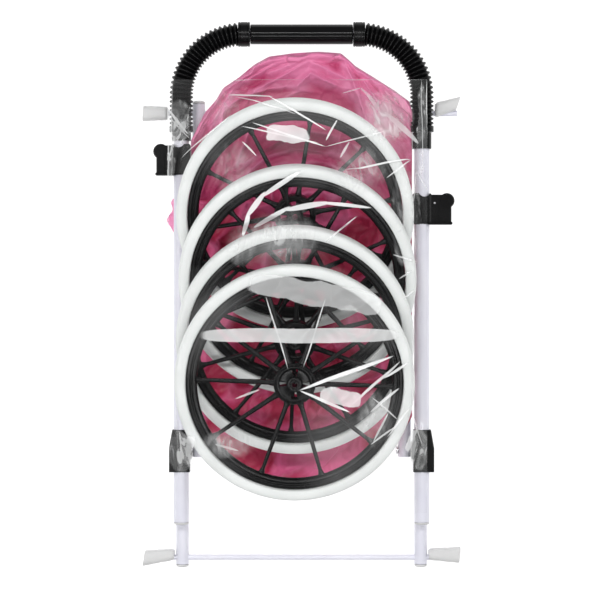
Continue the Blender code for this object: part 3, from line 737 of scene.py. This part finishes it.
def rim_outline():
    """Rim band with two raised rings and a groove between them on each face."""
    half = RIM_WIDTH / 2
    outer = SEAT_R
    steps = [(0.0, 0.55), (0.0012, 0.95), (0.0045, 1.0), (0.0056, 0.70), (0.0070, 0.70),
             (0.0080, 0.90), (0.0115, 0.85), (0.0135, 0.25)]
    top = [(outer - depth, half * share) for depth, share in steps]
    return top + [(radius, -height) for radius, height in reversed(top)]


def spoke_mesh(angle, inner_r, outer_r):
    """Spoke with a rounded top, a flare at the rim and a thicker root at the hub."""
    result = bmesh.new()
    stations = []
    for step in range(13):
        share = step / 12
        radius = inner_r + (outer_r - inner_r) * share
        flare = 0.0022 * max(0.0, (share - 0.93) / 0.07) ** 2
        root = 0.0016 * max(0.0, (0.08 - share) / 0.08) ** 2
        half_width = 0.0031 - 0.0009 * share + flare + root
        half_depth = 0.0036 - 0.0008 * share
        ring = []
        for index in range(12):
            turn = 2 * math.pi * (index + 0.5) / 12
            y = half_width * math.copysign(abs(math.cos(turn)) ** 0.6, math.cos(turn))
            z = half_depth * math.copysign(abs(math.sin(turn)) ** 0.6, math.sin(turn))
            ring.append(result.verts.new((radius, y, z)))
        stations.append(ring)
    for first, second in zip(stations, stations[1:]):
        bridge(result, first, second)
    result.faces.new(stations[0][::-1])
    result.faces.new(stations[-1])
    result.transform(Matrix.Rotation(angle, 4, "Z"))
    return result


def hub_outline():
    half = HUB_WIDTH / 2
    steps = [(0.0052, 0.0), (0.0085, 0.0), (0.0092, 0.0012), (0.0098, 0.0045), (0.0180, 0.0052),
             (0.0195, 0.0040), (0.0215, 0.0038), (0.0222, 0.0052), (0.0232, 0.0052), (0.0238, 0.0040),
             (HUB_R - 0.0010, 0.0042), (HUB_R, 0.0056)]
    top = [(radius, half - depth) for radius, depth in steps]
    return top + [(radius, -height) for radius, height in reversed(top)]


def window_cutter(angle):
    """Wedge with rounded ends that opens one window in the hub."""
    outline = []
    for radius, sweep in ((WINDOW_OUTER_R, WINDOW_HALF_ANGLE), (WINDOW_INNER_R, -WINDOW_HALF_ANGLE)):
        for step in range(5):
            turn = angle + sweep * (step / 2 - 1)
            outline.append((radius * math.cos(turn), radius * math.sin(turn)))
    result = bmesh.new()
    low = [result.verts.new((x, y, -0.03)) for x, y in outline]
    high = [result.verts.new((x, y, 0.03)) for x, y in outline]
    result.faces.new(low[::-1])
    result.faces.new(high)
    bridge(result, low, high)
    return result


def cut(piece, cutters):
    """Cut the shapes out of a piece for good."""
    tools = []
    for cutter in cutters:
        bmesh.ops.recalc_face_normals(cutter, faces=cutter.faces)
        tool = new_object("cutter", as_mesh("cutter", cutter))
        modifier = piece.modifiers.new("window", "BOOLEAN")
        modifier.operation = "DIFFERENCE"
        modifier.solver = "EXACT"
        modifier.object = tool
        tools.append(tool)
    bpy.context.view_layer.update()
    graph = bpy.context.evaluated_depsgraph_get()
    mesh = bpy.data.meshes.new_from_object(piece.evaluated_get(graph))
    piece.modifiers.clear()
    piece.data = mesh
    for tool in tools:
        bpy.data.objects.remove(tool, do_unlink=True)


def make_hub_mesh(turn):
    """Hub with its four windows, worked out once in the wheel's own frame."""
    hub = lathe(rounded(hub_outline(), 0.0006, 2), 96)
    bmesh.ops.recalc_face_normals(hub, faces=hub.faces)
    holder = new_object("hub_shape", as_mesh("hub_shape", hub))
    cut(holder, [window_cutter(turn + 2 * math.pi * k / WINDOW_COUNT) for k in range(WINDOW_COUNT)])
    result = bmesh.new()
    result.from_mesh(holder.data)
    bpy.data.objects.remove(holder, do_unlink=True)
    return result


def merge(meshes):
    result = bmesh.new()
    for part in meshes:
        mesh = as_mesh("merge", part)
        result.from_mesh(mesh)
        bpy.data.meshes.remove(mesh)
    return result


def make_wheel(number, centre, tilt, turn):
    body = f"wheel_{number}"
    matrix = Matrix.Translation(Vector(centre)) @ Matrix.Rotation(tilt, 4, "X")
    tyre = lathe(tyre_outline(), ROUND_SEGMENTS)
    add_piece(f"foam_tyre_{number}", tyre, "foam", body, [f"tyre_{number}"], matrix, 60)
    inner_r = HUB_R - SPOKE_OVERLAP
    outer_r = SEAT_R - RIM_DEPTH + SPOKE_OVERLAP
    angles = [turn + 2 * math.pi * k / SPOKE_COUNT for k in range(SPOKE_COUNT)]
    spokes = [spoke_mesh(angle, inner_r, outer_r) for angle in angles]
    parts = [lathe(rounded(rim_outline(), 0.0005, 2), ROUND_SEGMENTS), make_hub_mesh(turn), *spokes]
    add_piece(f"spoked_rim_{number}", merge(parts), "black", body, [f"rim_{number}"], matrix, 35)


# --- sleeves --------------------------------------------------------------------------------------

# Middle and half width in Y at the near and the far end, then how far the mouth slants.
SLEEVE_SHAPES = {
    "front_left": ((-0.3262, 0.0072), (-0.3312, 0.0096), 0.0030),
    "front_right": ((-0.3262, 0.0072), (-0.3270, 0.0100), -0.0020),
    "rear_left": ((0.2290, 0.0085), (0.2290, 0.0095), 0.0010),
    "rear_right": ((0.2330, 0.0095), (0.2412, 0.0088), -0.0060),
}


def soft_sleeve(name, node, body, sign, shape, seed):
    """Squashed sleeve pulled crookedly over an axle end, with an open outer mouth."""
    low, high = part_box(node)
    near, far = sorted((low[0], high[0]), key=abs)
    half_height = (high[2] - low[2]) / 2
    (near_y, near_half), (far_y, far_half), slant = shape
    result = bmesh.new()

    def rings(inset, start, end):
        made = []
        for step in range(17):
            share = start + (end - start) * step / 16
            swell = min(1.0, 0.80 + 2.5 * share)
            middle_y = near_y + (far_y - near_y) * share
            half_width = (near_half + (far_half - near_half) * share) * swell - inset
            ring = []
            for index in range(36):
                angle = 2 * math.pi * index / 36
                spot = Vector((share * 4, math.cos(angle) + seed, math.sin(angle)))
                ragged = abs(0.0008 * noise.noise(spot))
                across = math.copysign(abs(math.cos(angle)) ** 0.6, math.cos(angle))
                upward = math.copysign(abs(math.sin(angle)) ** 0.6, math.sin(angle))
                x = near + (far - near) * share - sign * (abs(slant) + slant * across) * 0.5 * share
                y = middle_y + (half_width - ragged) * across
                z = half_height + ((half_height - inset) * swell - ragged) * upward
                ring.append(result.verts.new((x, y, z)))
            made.append(ring)
        for first, second in zip(made, made[1:]):
            bridge(result, first, second)
        return made

    outside = rings(0.0, 0.0, 1.0)
    inside = rings(SLEEVE_WALL, 0.03, 0.995)
    bridge(result, outside[-1], inside[-1])
    result.faces.new(outside[0])
    result.faces.new(inside[0])
    add_piece(name, result, "sleeve", body, [node], sharp=50)


def make_sleeves():
    for seed, (key, shape) in enumerate(SLEEVE_SHAPES.items()):
        axle, side = key.split("_")
        body = "front_axle" if axle == "front" else "rear_legs"
        soft_sleeve(f"foam_sleeve_{key}", f"{axle}_axle_sleeve_{side}", body, SIDES[side], shape, seed)


# --- fabric ---------------------------------------------------------------------------------------

def ridges(x, y, scale, seed, octaves=3):
    """Sharp-crested folds between 0 and 1."""
    total = 0.0
    weight = 0.0
    for octave in range(octaves):
        step = 2.1 ** octave
        spot = Vector((x * scale * step, y * scale * step, seed + octave * 3.7))
        value = 1.0 - abs(noise.noise(spot)) * 2.0
        total += max(value, 0.0) ** 1.5 / step
        weight += 1.0 / step
    return total / weight


def fabric_height(x, y, seed):
    """Height share of the crumpled cloth: long folds that fan out, with smaller ones across them."""
    warp_x = 0.020 * noise.noise(Vector((x * 9, y * 9, seed + 20)))
    warp_y = 0.020 * noise.noise(Vector((x * 9, y * 9, seed + 40)))
    long_folds = ridges((x + warp_x) * 1.0, (y + warp_y) * 0.35, 20, seed, 2)
    cross_folds = ridges((x + y * 0.5 + warp_y) * 0.5, (y - x * 0.4 + warp_x) * 1.0, 16, seed + 9, 2)
    return 0.5 * long_folds + 0.5 * cross_folds


def fold_at(x, y):
    """Nearest named fold of the hood: its height share here and the distance to its crest."""
    best = 0.0
    nearest = 1.0
    point = Vector((x, y))
    for start_x, start_y, end_x, end_y, rise, half_width in HOOD_FOLDS:
        start = Vector((start_x, start_y))
        along = Vector((end_x, end_y)) - start
        share = min(max((point - start).dot(along) / along.length_squared, 0.0), 1.0)
        distance = (point - start - along * share).length
        best = max(best, rise * math.exp(-distance / (0.8 * half_width)))
        nearest = min(nearest, distance)
    return best, nearest


def arch_folds(x, y):
    """Long folds that follow the arch of the hood."""
    up = y - WHEEL_CENTRES[0][1]
    wander = 0.010 * noise.noise(Vector((x * 14, y * 14, 6.0)))
    return ridges(math.hypot(x, up) + wander, math.atan2(x, up) * 0.025, 46, 5.0, 1)


def hood_height(x, y):
    """Height share of the folded hood: named folds and a raised hem over a lightly crumpled base."""
    hem = 0.80 * math.exp(-((outline_y(HOOD_OUTLINE, x) - y - 0.004) / HOOD_HEM) ** 2)
    small = 0.10 * fabric_height(x, y, 3.0) + 0.42 * arch_folds(x, y)
    return min(max(fold_at(x, y)[0], hem) + small, 1.0)


def hood_stitch(x, y):
    """Whether the hood is held here: along its crests and at scattered points between them."""
    return fold_at(x, y)[1] < 0.0012 or noise.noise(Vector((x * 95, y * 95, 8.0))) > 0.42


def body_height(x, y):
    return fabric_height(x, y, 11.0)


def body_stitch(x, y):
    return noise.noise(Vector((x * 60, y * 60, 4.0))) > 0.47


def outline_y(outline, x):
    """Y of an outline that runs from right to left, at this x."""
    for (right_x, right_y), (left_x, left_y) in zip(outline, outline[1:]):
        if left_x <= x <= right_x:
            share = (right_x - x) / (right_x - left_x)
            return right_y + (left_y - right_y) * share
    return outline[0][1] if x > 0 else outline[-1][1]


def settle_cloth(mesh_data, held_rows, low_z, high_z, growth, frames):
    """Let the cloth, cut a little too large for its outline, buckle between the board and the wheels."""
    cloth = new_object("cloth_sheet", as_mesh("cloth_sheet", mesh_data))
    group = cloth.vertex_groups.new(name="held")
    group.add(held_rows, 1.0, "ADD")
    plates = []
    for place_z in (low_z - PLATE_GAP, high_z + PLATE_GAP):
        plate_mesh = bpy.data.meshes.new("plate")
        corners = [(x, y, place_z) for x, y in ((-0.3, -0.4), (0.3, -0.4), (0.3, 0.4), (-0.3, 0.4))]
        plate_mesh.from_pydata(corners, [], [(0, 1, 2, 3)])
        plate = new_object("plate", plate_mesh)
        plate.modifiers.new("wall", "COLLISION")
        plate.collision.thickness_outer = 0.001
        plate.collision.damping = 0.6
        plates.append(plate)
    modifier = cloth.modifiers.new("cloth", "CLOTH")
    settings = modifier.settings
    settings.quality = 6
    settings.mass = 0.08
    settings.tension_stiffness = 18
    settings.compression_stiffness = 18
    settings.shear_stiffness = 8
    settings.bending_stiffness = 0.25
    settings.air_damping = 4.0
    settings.vertex_group_mass = "held"
    settings.shrink_min = -growth
    settings.effector_weights.gravity = 0.05
    modifier.collision_settings.use_collision = True
    modifier.collision_settings.distance_min = PLATE_GAP
    modifier.point_cache.frame_end = frames
    scene = bpy.context.scene
    for frame_number in range(1, frames + 1):
        scene.frame_set(frame_number)
    graph = bpy.context.evaluated_depsgraph_get()
    settled = cloth.evaluated_get(graph).to_mesh()
    result = bmesh.new()
    result.from_mesh(settled)
    scene.frame_set(1)
    for item in [cloth, *plates]:
        bpy.data.objects.remove(item, do_unlink=True)
    return result


def fabric_sheet(node, edges, spacing, height_at, stitch_at, growth):
    """Mesh of a nylon sheet that fills the space between two outlines and is buckled into folds."""
    low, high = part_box(node)
    low_edge, high_edge = edges
    columns = int(2 * FABRIC_HALF_X / spacing)
    rows = int((high_edge(0.0) - low_edge(0.0)) / spacing)
    result = bmesh.new()
    grid = []
    held = []
    for row in range(rows + 1):
        line = []
        for column in range(columns + 1):
            x = -FABRIC_HALF_X + 2 * FABRIC_HALF_X * column / columns
            share = row / rows
            y = low_edge(x) + (high_edge(x) - low_edge(x)) * share
            edge = min(column, columns - column, row, rows - row)
            roll = min(1.0, 0.25 + edge * spacing / EDGE_ROLL)
            rise = height_at(x, y) * math.sqrt(max(0.0, 1 - (1 - roll) ** 2))
            z = low[2] + SHEET_MARGIN + (high[2] - low[2] - 2 * SHEET_MARGIN) * rise
            if edge == 0 or stitch_at(x, y):
                held.append(len(result.verts))
            line.append(result.verts.new((x, y, z)))
        grid.append(line)
    fill_grid(result, grid)
    result = settle_cloth(result, held, low[2], high[2], growth, CLOTH_FRAMES)
    for vertex in result.verts:
        vertex.co.z = min(max(vertex.co.z, low[2]), high[2])
    return result


def side_fold():
    """The small loop of cloth that sticks out between the left rail and the leg below it."""
    result = bmesh.new()
    columns, rows = 22, 44
    grid = []
    for row in range(rows + 1):
        along = row / rows
        y = LOOP_START_Y + LOOP_LENGTH * along
        ragged = 0.85 + 0.3 * noise.noise(Vector((y * 60, 0, 2)))
        reach = LOOP_REACH * math.sin(math.pi * along) ** 0.5 * ragged
        line = []
        for column in range(columns + 1):
            x = -FABRIC_HALF_X - reach * column / columns
            outside = min(max((abs(x) - LEG_OUTER_X) / 0.006, 0.0), 1.0)
            ripple = 0.0030 * math.sin(y * 380 + column * 0.3) * outside
            line.append(result.verts.new((x, y, LOOP_Z - 0.0035 * outside + ripple)))
        grid.append(line)
    fill_grid(result, grid)
    return result


def add_cloth(name, mesh_data, material, nodes=()):
    piece = add_piece(name, mesh_data, material, "frame", nodes, sharp=180)
    smooth = piece.modifiers.new("rounded_folds", "SUBSURF")
    smooth.levels = 1
    smooth.render_levels = 1
    return piece


def make_fabric():
    """Folded hood above and folded body below, meeting along one seam."""
    seam_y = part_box("fabric_hood")[0][1]
    edges = (lambda x: seam_y, lambda x: outline_y(HOOD_OUTLINE, x))
    cloth = fabric_sheet("fabric_hood", edges, HOOD_SPACING, hood_height, hood_stitch, HOOD_GROWTH)
    hood = add_cloth("nylon_hood", cloth, "hood", ["fabric_hood"])
    edges = (lambda x: outline_y(BODY_OUTLINE, x), lambda x: seam_y + SEAM_LAP)
    cloth = fabric_sheet("fabric_body", edges, BODY_SPACING, body_height, body_stitch, BODY_GROWTH)
    body = add_cloth("nylon_body", cloth, "body", ["fabric_body"])
    loop = add_cloth("nylon_side_loop", side_fold(), "loop")


# --- film -----------------------------------------------------------------------------------------

def cover_height(x, y, hem_z):
    """Height of the film over the tilted wheels, falling away round them to the hem."""
    reach = WHEEL_R + FILM_GAP
    height = hem_z
    for (centre_x, centre_y, centre_z), tilt in zip(WHEEL_CENTRES, WHEEL_TILTS):
        along = (y - centre_y) / math.cos(tilt)
        distance = math.hypot(x - centre_x, along)
        edge = min(distance, reach) / max(distance, 1e-6)
        rim_z = centre_z + along * edge * math.sin(tilt) + TYRE_WIDTH / 2 + FILM_GAP
        fall = max(distance - reach, 0.0) * FILM_FALL
        height = max(height, rim_z - fall)
    return height


def make_film():
    low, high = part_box("film_bag")
    columns, rows = 150, 240
    result = bmesh.new()
    grid = []
    for row in range(rows + 1):
        line = []
        for column in range(columns + 1):
            across, along = column / columns, row / rows
            x = low[0] + FILM_MARGIN + (high[0] - low[0] - 2 * FILM_MARGIN) * across
            y = low[1] + FILM_MARGIN + (high[1] - low[1] - 2 * FILM_MARGIN) * along
            edge = min(across, 1 - across, along * 1.6, (1 - along) * 1.6) * 14
            wrinkle = FILM_WRINKLE * (ridges(x, y, 13, 5.0) - 0.5)
            top = cover_height(x, y, low[2] + FILM_MARGIN) + wrinkle
            z = low[2] + FILM_MARGIN + (top - low[2]) * min(edge, 1.0)
            line.append(result.verts.new((x, y, min(z, high[2] - 0.0005))))
        grid.append(line)
    fill_grid(result, grid)
    film = add_piece("clear_film_cover", result, "film", "wheel_bag", ["film_bag"], sharp=180)


# --- CAD nodes that stay --------------------------------------------------------------------------

def finish_cad_nodes():
    """Give the CAD nodes a detailed material, and soft edges to the black ones that stay."""
    record_slots = {entry["node"]: entry["material_slot"] for entry in frame["record"]["subparts"]}
    by_slot = {slot: material for material, slot in reversed(SLOTS.items())}
    for name, node in frame["nodes"].items():
        node.data.materials.clear()
        node.data.materials.append(MATERIALS[by_slot[record_slots[name]]])
        if not node.hide_render and record_slots[name] == "black_plastic":
            bevel = node.modifiers.new("soft_edges", "BEVEL")
            bevel.width = 0.0005
            bevel.segments = 2
            bevel.limit_method = "ANGLE"
            bevel.angle_limit = math.radians(35)


# --- camera, light and floor ----------------------------------------------------------------------

def add_area_light(name, place, size, power):
    data = bpy.data.lights.new(name, "AREA")
    data.shape = "RECTANGLE"
    data.size, data.size_y = size
    data.energy = power
    light = new_object(name, data)
    light.location = place
    light.rotation_euler = (Vector(LIGHT_TARGET) - Vector(place)).to_track_quat("-Z", "Y").to_euler()


def make_stage():
    data = bpy.data.cameras.new("camera")
    data.lens = CAMERA_LENS
    data.sensor_width = CAMERA_SENSOR
    camera = new_object("camera", data)
    camera.location = CAMERA_PLACE
    bpy.context.scene.camera = camera

    floor_mesh = bpy.data.meshes.new("floor")
    corners = [(x * FLOOR_HALF, y * FLOOR_HALF, 0) for x, y in ((-1, -1), (1, -1), (1, 1), (-1, 1))]
    floor_mesh.from_pydata(corners, [], [(0, 1, 2, 3)])
    floor = new_object("floor", floor_mesh)
    floor.location.z = -FLOOR_GAP
    shader = Shader("floor", (0.30, 0.30, 0.30), 0.9)
    shader.set("Emission Color", (1.0, 1.0, 1.0, 1.0))
    shader.set("Emission Strength", FLOOR_GLOW)
    floor_mesh.materials.append(shader.material)

    world = bpy.data.worlds.new("studio")
    world.use_nodes = True
    background = world.node_tree.nodes["Background"]
    background.inputs["Color"].default_value = (1.0, 1.0, 1.0, 1.0)
    background.inputs["Strength"].default_value = WORLD_STRENGTH
    bpy.context.scene.world = world
    bpy.context.scene.view_settings.view_transform = "Standard"
    for name, place, size, power in LIGHTS:
        add_area_light(name, place, size, power)


make_stage()
make_tubes()
make_handle()
for wheel_number, placing in enumerate(zip(WHEEL_CENTRES, WHEEL_TILTS, WHEEL_TURNS), start=1):
    make_wheel(wheel_number, *placing)
make_sleeves()
make_fabric()
make_film()
finish_cad_nodes()
